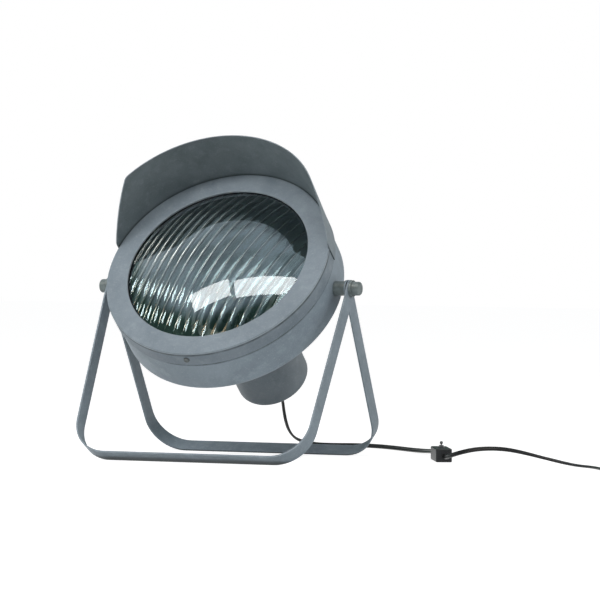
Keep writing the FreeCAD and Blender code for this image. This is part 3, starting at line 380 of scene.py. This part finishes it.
def rib_depth(line):
    """Depth of the ribbed inner face under the outer face, on a line of a rib."""
    off_middle = abs(line - 1)
    off_ridge = (1 - off_middle) * rib_pitch / 2
    ridge = ridge_height - math.hypot(off_ridge, ridge_round)
    return lens_wall + flute_depth * off_middle ** 2 + max(0.0, ridge)


def dome_grid(bm, ribbed):
    """Columns of vertices along the ribs on one face of the glass, with the quads between them."""
    columns = []
    for rib in range(-rib_count // 2, rib_count // 2):
        for line in rib_lines:
            u = rib_start + rib_pitch * (rib + line / 2)
            if abs(u) >= ribs_reach * ribs_share:
                continue
            half = math.sqrt(ribs_reach ** 2 - u * u)
            column = []
            for row in range(lens_rows + 1):
                v = half * math.sin(math.pi / 2 * (2 * row / lens_rows - 1))
                x = u * math.cos(rib_turn) + v * math.sin(rib_turn)
                y = v * math.cos(rib_turn) - u * math.sin(rib_turn)
                z = dome_height(math.hypot(x, y)) - (rib_depth(line) if ribbed else 0.0)
                column.append(bm.verts.new(from_head(x, y, z)))
            columns.append(column)
    for near, far in zip(columns, columns[1:]):
        for row in range(lens_rows):
            bm.faces.new((near[row], near[row + 1], far[row + 1], far[row]))
    return columns


def border(columns):
    """Loop of vertices round a grid."""
    return (columns[0] + [column[-1] for column in columns[1:-1]]
            + columns[-1][::-1] + [column[0] for column in columns[-2:0:-1]])


def ribbed_lens():
    """Domed glass, smooth outside and ribbed inside, with its flat rim."""
    bm = bmesh.new()
    front_loop, back_loop = border(dome_grid(bm, False)), border(dome_grid(bm, True))
    bearings = []
    for vert in front_loop:
        y = vert.co.y * math.sin(beam_tilt) + (vert.co.z - pivot_height) * math.cos(beam_tilt)
        bearings.append(math.atan2(y, vert.co.x))
    rings = [(plain_border, dome_height(plain_border)), (lens_edge, rim_front),
             (lens_rim - lens_rim_round, rim_front), (lens_rim, rim_front - lens_rim_round),
             (lens_rim, rim_back + lens_rim_round), (lens_rim - lens_rim_round, rim_back),
             (lens_edge - lens_back_gap, rim_back)]
    previous = front_loop
    for radius, height in rings:
        ring = [bm.verts.new(from_head(radius * math.cos(b), radius * math.sin(b), height))
                for b in bearings]
        join_loops(bm, previous, ring)
        previous = ring
    join_loops(bm, previous, back_loop)
    for near, far in zip(back_loop, back_loop[1:] + back_loop[:1]):
        bm.edges.get((near, far)).smooth = False
    return new_object("ribbed_lens", bm)


lens = ribbed_lens()
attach(lens, "head")
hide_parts("lens_glass")

# ---------------------------------------------------------------- material helpers
mix_first, mix_second, mix_result = 6, 7, 2     # the colour sockets of a Mix node
finishes = {}                   # every material made here, by name
band_softness = 0.3             # blur of a band's edges, as a share of its width
head_middle = 0.012             # middle of the drum, along the beam
inner_facing = 0.004            # how much a face looks inward where the inner tones are full
inner_top_blur = 0.0003


def linear(red, green, blue):
    """Scene colour of an sRGB colour given from 0 to 255."""
    def channel(value):
        value /= 255.0
        return value / 12.92 if value <= 0.04045 else ((value + 0.055) / 1.055) ** 2.4
    return (channel(red), channel(green), channel(blue), 1.0)


class Nodes:
    """A node tree, with short calls for the nodes used here."""

    def __init__(self, tree):
        self.tree = tree
        self.place = None

    def add(self, kind, inputs=(), **settings):
        """A new node, with its settings made and its inputs linked or set; None leaves an input."""
        node = self.tree.nodes.new(kind)
        for key, value in settings.items():
            setattr(node, key, value)
        for key, value in dict(inputs).items():
            self.feed(node.inputs[key], value)
        return node

    def feed(self, socket, value):
        if isinstance(value, bpy.types.NodeSocket):
            self.tree.links.new(value, socket)
        elif value is not None:
            socket.default_value = value

    def math(self, operation, *values):
        return self.add("ShaderNodeMath", enumerate(values), operation=operation).outputs[0]

    def vector_math(self, operation, result, first, second):
        return self.add("ShaderNodeVectorMath", {0: first, 1: second},
                        operation=operation).outputs[result]

    def noise(self, scale, detail, roughness, place=None, distortion=0.0):
        return self.add("ShaderNodeTexNoise", {
            "Scale": scale, "Detail": detail, "Roughness": roughness, "Distortion": distortion,
            "Vector": place or self.place}).outputs["Fac"]

    def ramp(self, factor, *stops):
        """Colour of a factor by (position, colour or grey) stops."""
        node = self.add("ShaderNodeValToRGB", {"Fac": factor})
        elements = node.color_ramp.elements
        while len(elements) < len(stops):
            elements.new(0.5)
        for element, (position, colour) in zip(elements, stops):
            element.position = position
            element.color = colour if hasattr(colour, "__len__") else (colour, colour, colour, 1)
        return node.outputs["Color"]

    def span(self, factor, low, high, from_low=0.0, from_high=1.0):
        return self.add("ShaderNodeMapRange", {
            "Value": factor, "From Min": from_low, "From Max": from_high,
            "To Min": low, "To Max": high}).outputs["Result"]

    def mix(self, factor, first, second, blend="MIX"):
        return self.add("ShaderNodeMix", {"Factor": factor, mix_first: first, mix_second: second},
                        data_type="RGBA", blend_type=blend).outputs[mix_result]

    def multiply(self, first, second):
        return self.mix(1.0, first, second, "MULTIPLY")

    def ray_kinds(self):
        """Masks of camera rays, and of glossy and transmission rays before any diffuse bounce."""
        path = self.add("ShaderNodeLightPath").outputs
        shiny = self.math("MAXIMUM", path["Is Glossy Ray"], path["Is Transmission Ray"])
        direct = self.math("LESS_THAN", path["Diffuse Depth"], 0.5)
        return path["Is Camera Ray"], self.math("MULTIPLY", shiny, direct)

    def blend_shaders(self, factor, first, second):
        """The second shader where the factor is 1, the first elsewhere."""
        return self.add("ShaderNodeMixShader", {0: factor, 1: first, 2: second}).outputs[0]


def bare_nodes(owner):
    """Emptied node tree of a material or a world."""
    owner.use_nodes = True
    owner.node_tree.nodes.clear()
    return Nodes(owner.node_tree)


class Finish(Nodes):
    """A new material's nodes, round its one shader."""

    def __init__(self, name):
        material = bpy.data.materials.new(name)
        material.use_nodes = True
        super().__init__(material.node_tree)
        self.shader = self.tree.nodes["Principled BSDF"]
        self.place = self.add("ShaderNodeTexCoord").outputs["Object"]
        finishes[name] = material

    def set(self, **values):
        for key, value in values.items():
            self.feed(self.shader.inputs[key.replace("_", " ")], value)

    def stretched(self, scale):
        node = self.add("ShaderNodeMapping", {"Scale": scale, "Vector": self.place})
        return node.outputs["Vector"]

    def bump(self, *layers):
        """Stacked bumps, each (height, distance, strength)."""
        normal = None
        for height, distance, strength in layers:
            normal = self.add("ShaderNodeBump", {
                "Height": height, "Distance": distance, "Strength": strength,
                "Normal": normal}).outputs["Normal"]
        self.set(Normal=normal)

    def edge_wear(self, radius):
        """A mask that is 1 on outer edges."""
        rounded = self.add("ShaderNodeBevel", {"Radius": radius}, samples=4).outputs["Normal"]
        plain = self.add("ShaderNodeNewGeometry").outputs["Normal"]
        agreement = self.vector_math("DOT_PRODUCT", "Value", rounded, plain)
        return self.span(agreement, 1.0, 0.0, 0.80, 0.995)

    def crevices(self, reach):
        """A mask that is 1 in narrow inner corners, where painted shade goes."""
        near = self.add("ShaderNodeAmbientOcclusion", {"Distance": reach}, samples=8).outputs["AO"]
        return self.span(near, 0.85, 0.0, 0.35, 0.80)

    def beam_height(self):
        """Height above the pivot along the head's beam."""
        offset = self.vector_math("SUBTRACT", "Vector", self.place, (0, 0, pivot_height))
        beam = (0, -math.cos(beam_tilt), math.sin(beam_tilt))
        return self.vector_math("DOT_PRODUCT", "Value", offset, beam)

    def band(self, low, high, strength):
        """A soft, broken ring round the head between two heights along the beam."""
        edge = (high - low) * band_softness
        height = self.beam_height()
        rise = self.span(height, 0.0, strength, low - edge, low + edge)
        fall = self.span(height, 1.0, 0.0, high - edge, high + edge)
        broken = self.ramp(self.noise(45.0, 4.0, 0.6), (0.30, 0.35), (0.62, 1.0))
        return self.multiply(self.multiply(rise, fall), broken)

    def inwardness(self, top):
        """A mask that is 1 on faces towards the head's middle, up to a height along the beam."""
        normal = self.add("ShaderNodeTexCoord").outputs["Normal"]
        outward = self.vector_math("SUBTRACT", "Vector", self.place, from_head(0, 0, head_middle))
        facing = self.vector_math("DOT_PRODUCT", "Value", normal, outward)
        inward = self.span(facing, 1.0, 0.0, -inner_facing, 0.0)
        below = self.span(self.beam_height(), 1.0, 0.0, top - inner_top_blur, top + inner_top_blur)
        return self.multiply(inward, below)


# ---------------------------------------------------------------- kinds of finish
# The third tone serves for wear and also paints the highlight along the bezel's corner.
paint_colours = ((143, 154, 161), (106, 118, 125), (178, 187, 192))     # light, dark and worn
# The tint below darkens the dark paint into painted shade, for corners and for dark bands.
shade_tint = (0.36, 0.38, 0.36, 1)
worn_edge_radius = 0.0009
# How far the painted shade in narrow corners reaches.
shade_reach = 0.007


def paint_tones(share, tint=(1.0, 1.0, 1.0)):
    """Light, dark and worn tones of the grey paint, at a share of their brightness."""
    return [tuple(share * c * t for c, t in zip(linear(*colour), tint)) + (1.0,)
            for colour in paint_colours]


def painted(name, tones, mottle=9.0, inner=None, inner_top=1.0, bands=()):
    """Matte paint over zinc, clouded and lightly scuffed, with painted shade in narrow corners.

    Faces towards the head's middle take the inner tones, up to a height along the beam. A band is
    two such heights and a strength: the lightest tone where it is positive, painted shade where
    negative.
    """
    f = Finish(name)
    if inner:
        depth = f.inwardness(inner_top)
        tones = [f.mix(depth, outside, inside) for outside, inside in zip(tones, inner)]
    light, dark, wear_and_highlight = tones
    clouds = f.noise(mottle, 7.0, 0.66, distortion=0.6)
    base = f.mix(f.ramp(clouds, (0.30, 0.15), (0.66, 0.9)), dark, light)
    # Each layer is a pattern, the values where it starts and is full, its share and its tone.
    layers = (
        (f.noise(mottle * 3.7, 6.0, 0.7), 0.47, 0.66, 0.4, dark),
        (f.noise(mottle * 8.0, 5.0, 0.65), 0.55, 0.72, 0.22, wear_and_highlight),
        (f.noise(520.0, 3.0, 0.6), 0.56, 0.72, 0.28, wear_and_highlight),
        (f.noise(30.0, 9.0, 0.75, f.stretched((1.0, 7.0, 5.0)), 0.9), 0.62, 0.70, 0.38, wear_and_highlight),
    )
    for pattern, start, full, share, tone in layers:
        base = f.mix(f.ramp(pattern, (start, 0.0), (full, share)), base, tone)
    broken = f.ramp(f.noise(90.0, 4.0, 0.6), (0.36, 0.0), (0.58, 0.75))
    base = f.mix(f.multiply(f.edge_wear(worn_edge_radius), broken), base, wear_and_highlight)
    # Painted shade: darkened paint in narrow corners and gaps, found by occlusion.
    shade_tone = f.multiply(dark, shade_tint)
    base = f.mix(f.crevices(shade_reach), base, shade_tone)
    # Bands: painted shade where the strength is negative, the lightest tone where it is positive.
    for low, high, strength in bands:
        base = f.mix(f.band(low, high, abs(strength)), base, wear_and_highlight if strength > 0 else shade_tone)
    f.set(Base_Color=base, Roughness=f.span(clouds, 0.46, 0.60), Specular_IOR_Level=0.42)
    f.bump((f.noise(1500.0, 2.0, 0.5), 0.00006, 0.35), (f.noise(160.0, 3.0, 0.5), 0.0002, 0.18))


def metal(name, colour, stain, rough=0.34, metallic=1.0, brushed=(1.0, 1.0, 1.0)):
    """Bare or plated metal with fine brushing and stains."""
    f = Finish(name)
    marks = f.noise(900.0, 3.0, 0.6, f.stretched(brushed))
    stains = f.ramp(f.noise(110.0, 5.0, 0.6), (0.42, 0.0), (0.72, 0.7))
    f.set(Base_Color=f.mix(stains, colour, stain), Metallic=metallic,
          Roughness=f.span(marks, rough * 0.75, rough * 1.3))
    f.bump((marks, 0.00004, 0.25))


def moulded(name, colour, other, rough=0.38, grain=1400.0, depth=0.00004, strength=0.3, shine=0.5):
    """Moulded plastic, rubber or ceramic with a fine grain."""
    f = Finish(name)
    cloud = f.ramp(f.noise(60.0, 4.0, 0.6), (0.4, 0.0), (0.7, 1.0))
    f.set(Base_Color=f.mix(cloud, colour, other), Specular_IOR_Level=shine,
          Roughness=f.span(f.noise(180.0, 4.0, 0.6), rough * 0.8, rough * 1.25))
    f.bump((f.noise(grain, 2.0, 0.5), depth, strength))


def glass(name, tint, rough, index, waves, polish=(1.0, 1.0, 1.0, 1.0)):
    """Clear glass with slight waves, given by their scale, depth and strength."""
    scale, depth, strength = waves
    f = Finish(name)
    f.set(Base_Color=tint, Roughness=rough, Transmission_Weight=1.0, IOR=index,
          Specular_Tint=polish)
    f.bump((f.noise(scale, 2.0, 0.4), depth, strength))


# ---------------------------------------------------------------- finishes
cool_tint = (0.98, 1.0, 1.03)
stand_tint = (0.97, 1.0, 1.03)
visor_inner_tint = (0.97, 1.0, 0.97)
# Near-black paint with a green cast inside the head: painted shade of the closed drum, seen through
# the glass.
head_inside_shade = paint_tones(0.06, (0.35, 1.35, 0.95))

# Bezel bands: a painted shadow under the face's edge, a painted highlight on its corner, a faint
# lighter front face.
painted("bezel_paint", paint_tones(1.0, cool_tint), inner=head_inside_shade, inner_top=0.0453,
        bands=((0.0436, 0.0464, -1.0), (0.0469, 0.0478, 1.0), (0.0480, 0.0490, 0.15)))
# A lighter copy of the paint for the drum, painted light; its band paints the shadow under the
# skirt's end.
painted("shell_paint", paint_tones(1.3, cool_tint), inner=head_inside_shade,
        bands=((0.0232, 0.0274, -1.0),))
# The visor's inside is darker, partly as painted shade under the hood and partly as a darker paint.
painted("visor_paint", paint_tones(0.95), inner=paint_tones(0.68, visor_inner_tint))
# A darker copy of the paint for the rear cup: painted shade under the drum.
painted("cup_paint", paint_tones(0.80))
# A lighter copy of the paint for the stand: painted light.
painted("stand_paint", paint_tones(1.08, stand_tint), mottle=14.0)
metal("screw_steel", linear(150, 152, 150), linear(96, 98, 96), 0.38)
metal("screw_dull", linear(110, 116, 116), linear(62, 66, 64), 0.42, 0.5)
metal("pivot_steel", linear(120, 131, 131), linear(84, 93, 93), 0.48, 0.3)
metal("spring_steel", linear(160, 162, 160), linear(120, 122, 120), 0.3)
metal("brass", linear(196, 166, 96), linear(150, 122, 70), 0.26)
metal("cap_metal", linear(206, 206, 202), linear(170, 170, 166), 0.3, brushed=(1, 1, 8))
metal("filament", linear(120, 118, 114), linear(88, 86, 84), 0.5)
metal("toggle_metal", linear(128, 130, 132), linear(84, 86, 88), 0.34)
moulded("black_rubber", linear(34, 35, 36), linear(46, 47, 48), 0.62, 900.0)
moulded("phenolic", linear(40, 30, 26), linear(56, 42, 36), 0.3, 500.0)
moulded("ceramic", linear(226, 224, 214), linear(206, 202, 190), 0.22, 300.0)
moulded("wire_sheath", linear(120, 74, 44), linear(92, 56, 34), 0.45)
moulded("cord_black", linear(17, 19, 20), linear(30, 32, 33), 0.32, 700.0, 0.00005, shine=0.28)
moulded("switch_black", linear(22, 24, 27), linear(33, 35, 38), 0.4, 1100.0, 0.00006, 0.45, 0.36)
moulded("switch_inner", linear(206, 200, 178), linear(186, 180, 158), 0.4)
moulded("plug_black", linear(34, 35, 37), linear(44, 45, 47), 0.42, 1000.0, 0.00006, 0.4)
glass("bulb_glass", (0.97, 0.98, 0.97, 1), 0.0, 1.5, (34.0, 0.00015, 0.06))
glass("lens_glass", (0.86, 0.96, 0.92, 1), 0.012, 1.85, (40.0, 0.0002, 0.05), (0.68, 0.87, 1.0, 1))

# Nodes whose finish differs from their slot's.
node_finish = {
    "visor": "visor_paint", "rear_cup": "cup_paint", "bezel_ring": "bezel_paint",
    "head_shell": "shell_paint", "bezel_screws": "screw_dull", "cup_screws": "screw_dull",
}
for part in frame["record"]["subparts"]:
    node = frame["nodes"][part["node"]]
    finish = finishes[node_finish.get(part["node"], part["material_slot"])]
    if not node.material_slots:
        node.data.materials.append(finish)
    for material_slot in node.material_slots:
        material_slot.material = finish
for piece, name in ((drop_cord, "cord_black"), (lead_cord, "cord_black"), (tie, "cord_black"),
                    (lens, "lens_glass")):
    piece.data.materials.append(finishes[name])

# ---------------------------------------------------------------- floor, background and light
floor_half_side = 9.0
floor_grey = 0.8                # what the floor gives back to the lamp
seen_grey, seen_glow = 0.5, 0.82    # what the camera and the polish see of it
white = (1.0, 1.0, 1.0, 1)
soft_light = (0.97, 0.985, 1.0, 1)
soft_strength = 0.34
dim_green = (0.088, 0.16, 0.126, 1)
# The room that the polish shows, as (height, tone) levels. They rise towards +X, from room_left on.
room_levels = ((0.10, 0.8), (0.20, dim_green), (0.60, dim_green), (0.68, (1.0, 1.05, 1.1, 1)))
room_left = -0.35
room_fall = -0.33               # change of a direction's height with its X
light_target = Vector((0, -0.04, 0.26))
light_copy_gap = 0.02           # distance between a softbox's copies for each kind of ray
warm_white = (1.0, 0.82, 0.72)
spot_white = (1.0, 0.92, 0.89)
rib_white = (1.0, 0.95, 0.91)
brown = (1.0, 0.5, 0.26)


def make_floor():
    """Plain pale floor that looks white and keeps the lamp's shadow."""
    bm = bmesh.new()
    bmesh.ops.create_grid(bm, x_segments=2, y_segments=2, size=floor_half_side)
    floor = new_object("floor", bm, smooth=False)
    material = bpy.data.materials.new("floor")
    n = bare_nodes(material)

    def diffuse(grey):
        return n.add("ShaderNodeBsdfDiffuse", {"Color": (grey, grey, grey, 1)}).outputs[0]

    glow = n.add("ShaderNodeEmission", {"Strength": seen_glow}).outputs[0]
    bright = n.add("ShaderNodeAddShader", {0: diffuse(seen_grey), 1: glow}).outputs[0]
    look = diffuse(floor_grey)
    for seen in n.ray_kinds():
        look = n.blend_shaders(seen, look, bright)
    n.add("ShaderNodeOutputMaterial", {0: look})
    floor.data.materials.append(material)


def make_world():
    """White background, even soft light, and for the polish a dim room that is bright high up."""
    world = bpy.data.worlds.new("world")
    n = bare_nodes(world)

    def background(colour, strength):
        return n.add("ShaderNodeBackground", {"Color": colour, "Strength": strength}).outputs[0]

    generated = n.add("ShaderNodeTexCoord").outputs["Generated"]
    direction = n.add("ShaderNodeSeparateXYZ", {0: generated}).outputs
    rightward = n.math("MAXIMUM", direction["X"], room_left)
    height = n.math("MULTIPLY_ADD", rightward, room_fall, direction["Z"])
    unevenness = n.span(n.noise(5.0, 4.0, 0.5), 0.62, 1.12, 0.40, 0.54)
    room = background(n.ramp(height, *room_levels), unevenness)
    to_camera, to_polish = n.ray_kinds()
    look = n.blend_shaders(to_camera, background(soft_light, soft_strength), background(white, 1.0))
    look = n.blend_shaders(to_polish, look, room)
    n.add("ShaderNodeOutputWorld", {0: look})
    scene.world = world


def softbox(name, azimuth, elevation, size, spin=0.0, soft=0.0, mirrored=0.0, through=0.0,
            colour=(1.0, 1.0, 1.0), distance=3.0):
    """Rectangular light at a distance from the lens; azimuth 0 is in front of the lamp, 90 at +X.

    It lights surfaces by soft, shows in polish by mirrored, and through the glass by through.
    """
    a, e = math.radians(azimuth), math.radians(elevation)
    towards = Vector((math.sin(a) * math.cos(e), -math.cos(a) * math.cos(e), math.sin(e)))
    across = Z.cross(towards).normalized()
    upward = towards.cross(across)
    s, c = math.sin(math.radians(spin)), math.cos(math.radians(spin))
    across, upward = across * c + upward * s, upward * c - across * s
    kinds = (("through", through), ("mirrored", mirrored), ("soft", soft))
    for step, (kind, level) in enumerate(kinds):
        if not level:
            continue
        light = bpy.data.lights.new(name + "_" + kind, "AREA")
        light.shape = "RECTANGLE"
        light.size, light.size_y = size
        light.energy = level * math.pi * size[0] * size[1]
        light.color = (1.0, 1.0, 1.0) if kind == "soft" else colour
        made = bpy.data.objects.new(name + "_" + kind, light)
        place = light_target + towards * (distance + light_copy_gap * step)
        made.matrix_world = placement(across, upward, towards, place)
        made.visible_diffuse = kind == "soft"
        made.visible_glossy = kind == "mirrored"
        made.visible_transmission = kind == "through"
        scene.collection.objects.link(made)


make_floor()
make_world()
softbox("right", 25, 54, (2.15, 0.66), soft=4.8, mirrored=8.5, colour=warm_white)
softbox("left", -24.5, 43.8, (1.2, 0.62), spin=42, soft=8.5, mirrored=8.5, colour=warm_white)
softbox("low", -52, 24, (0.5, 0.3), soft=3.6, distance=0.9)
softbox("right_side", 82, 14, (1.6, 1.2), soft=2.7)
softbox("ribs_right", 25, 54, (2.15, 0.66), through=5.0, colour=rib_white)
softbox("row_high", -54, 38, (1.5, 0.30), through=15.0, colour=spot_white)
softbox("row_low", -63, 25, (1.15, 0.26), through=15.0, colour=spot_white)
softbox("brown", 20, 17, (1.2, 0.3), through=5.0, colour=brown)
scene.view_settings.view_transform = "Standard"
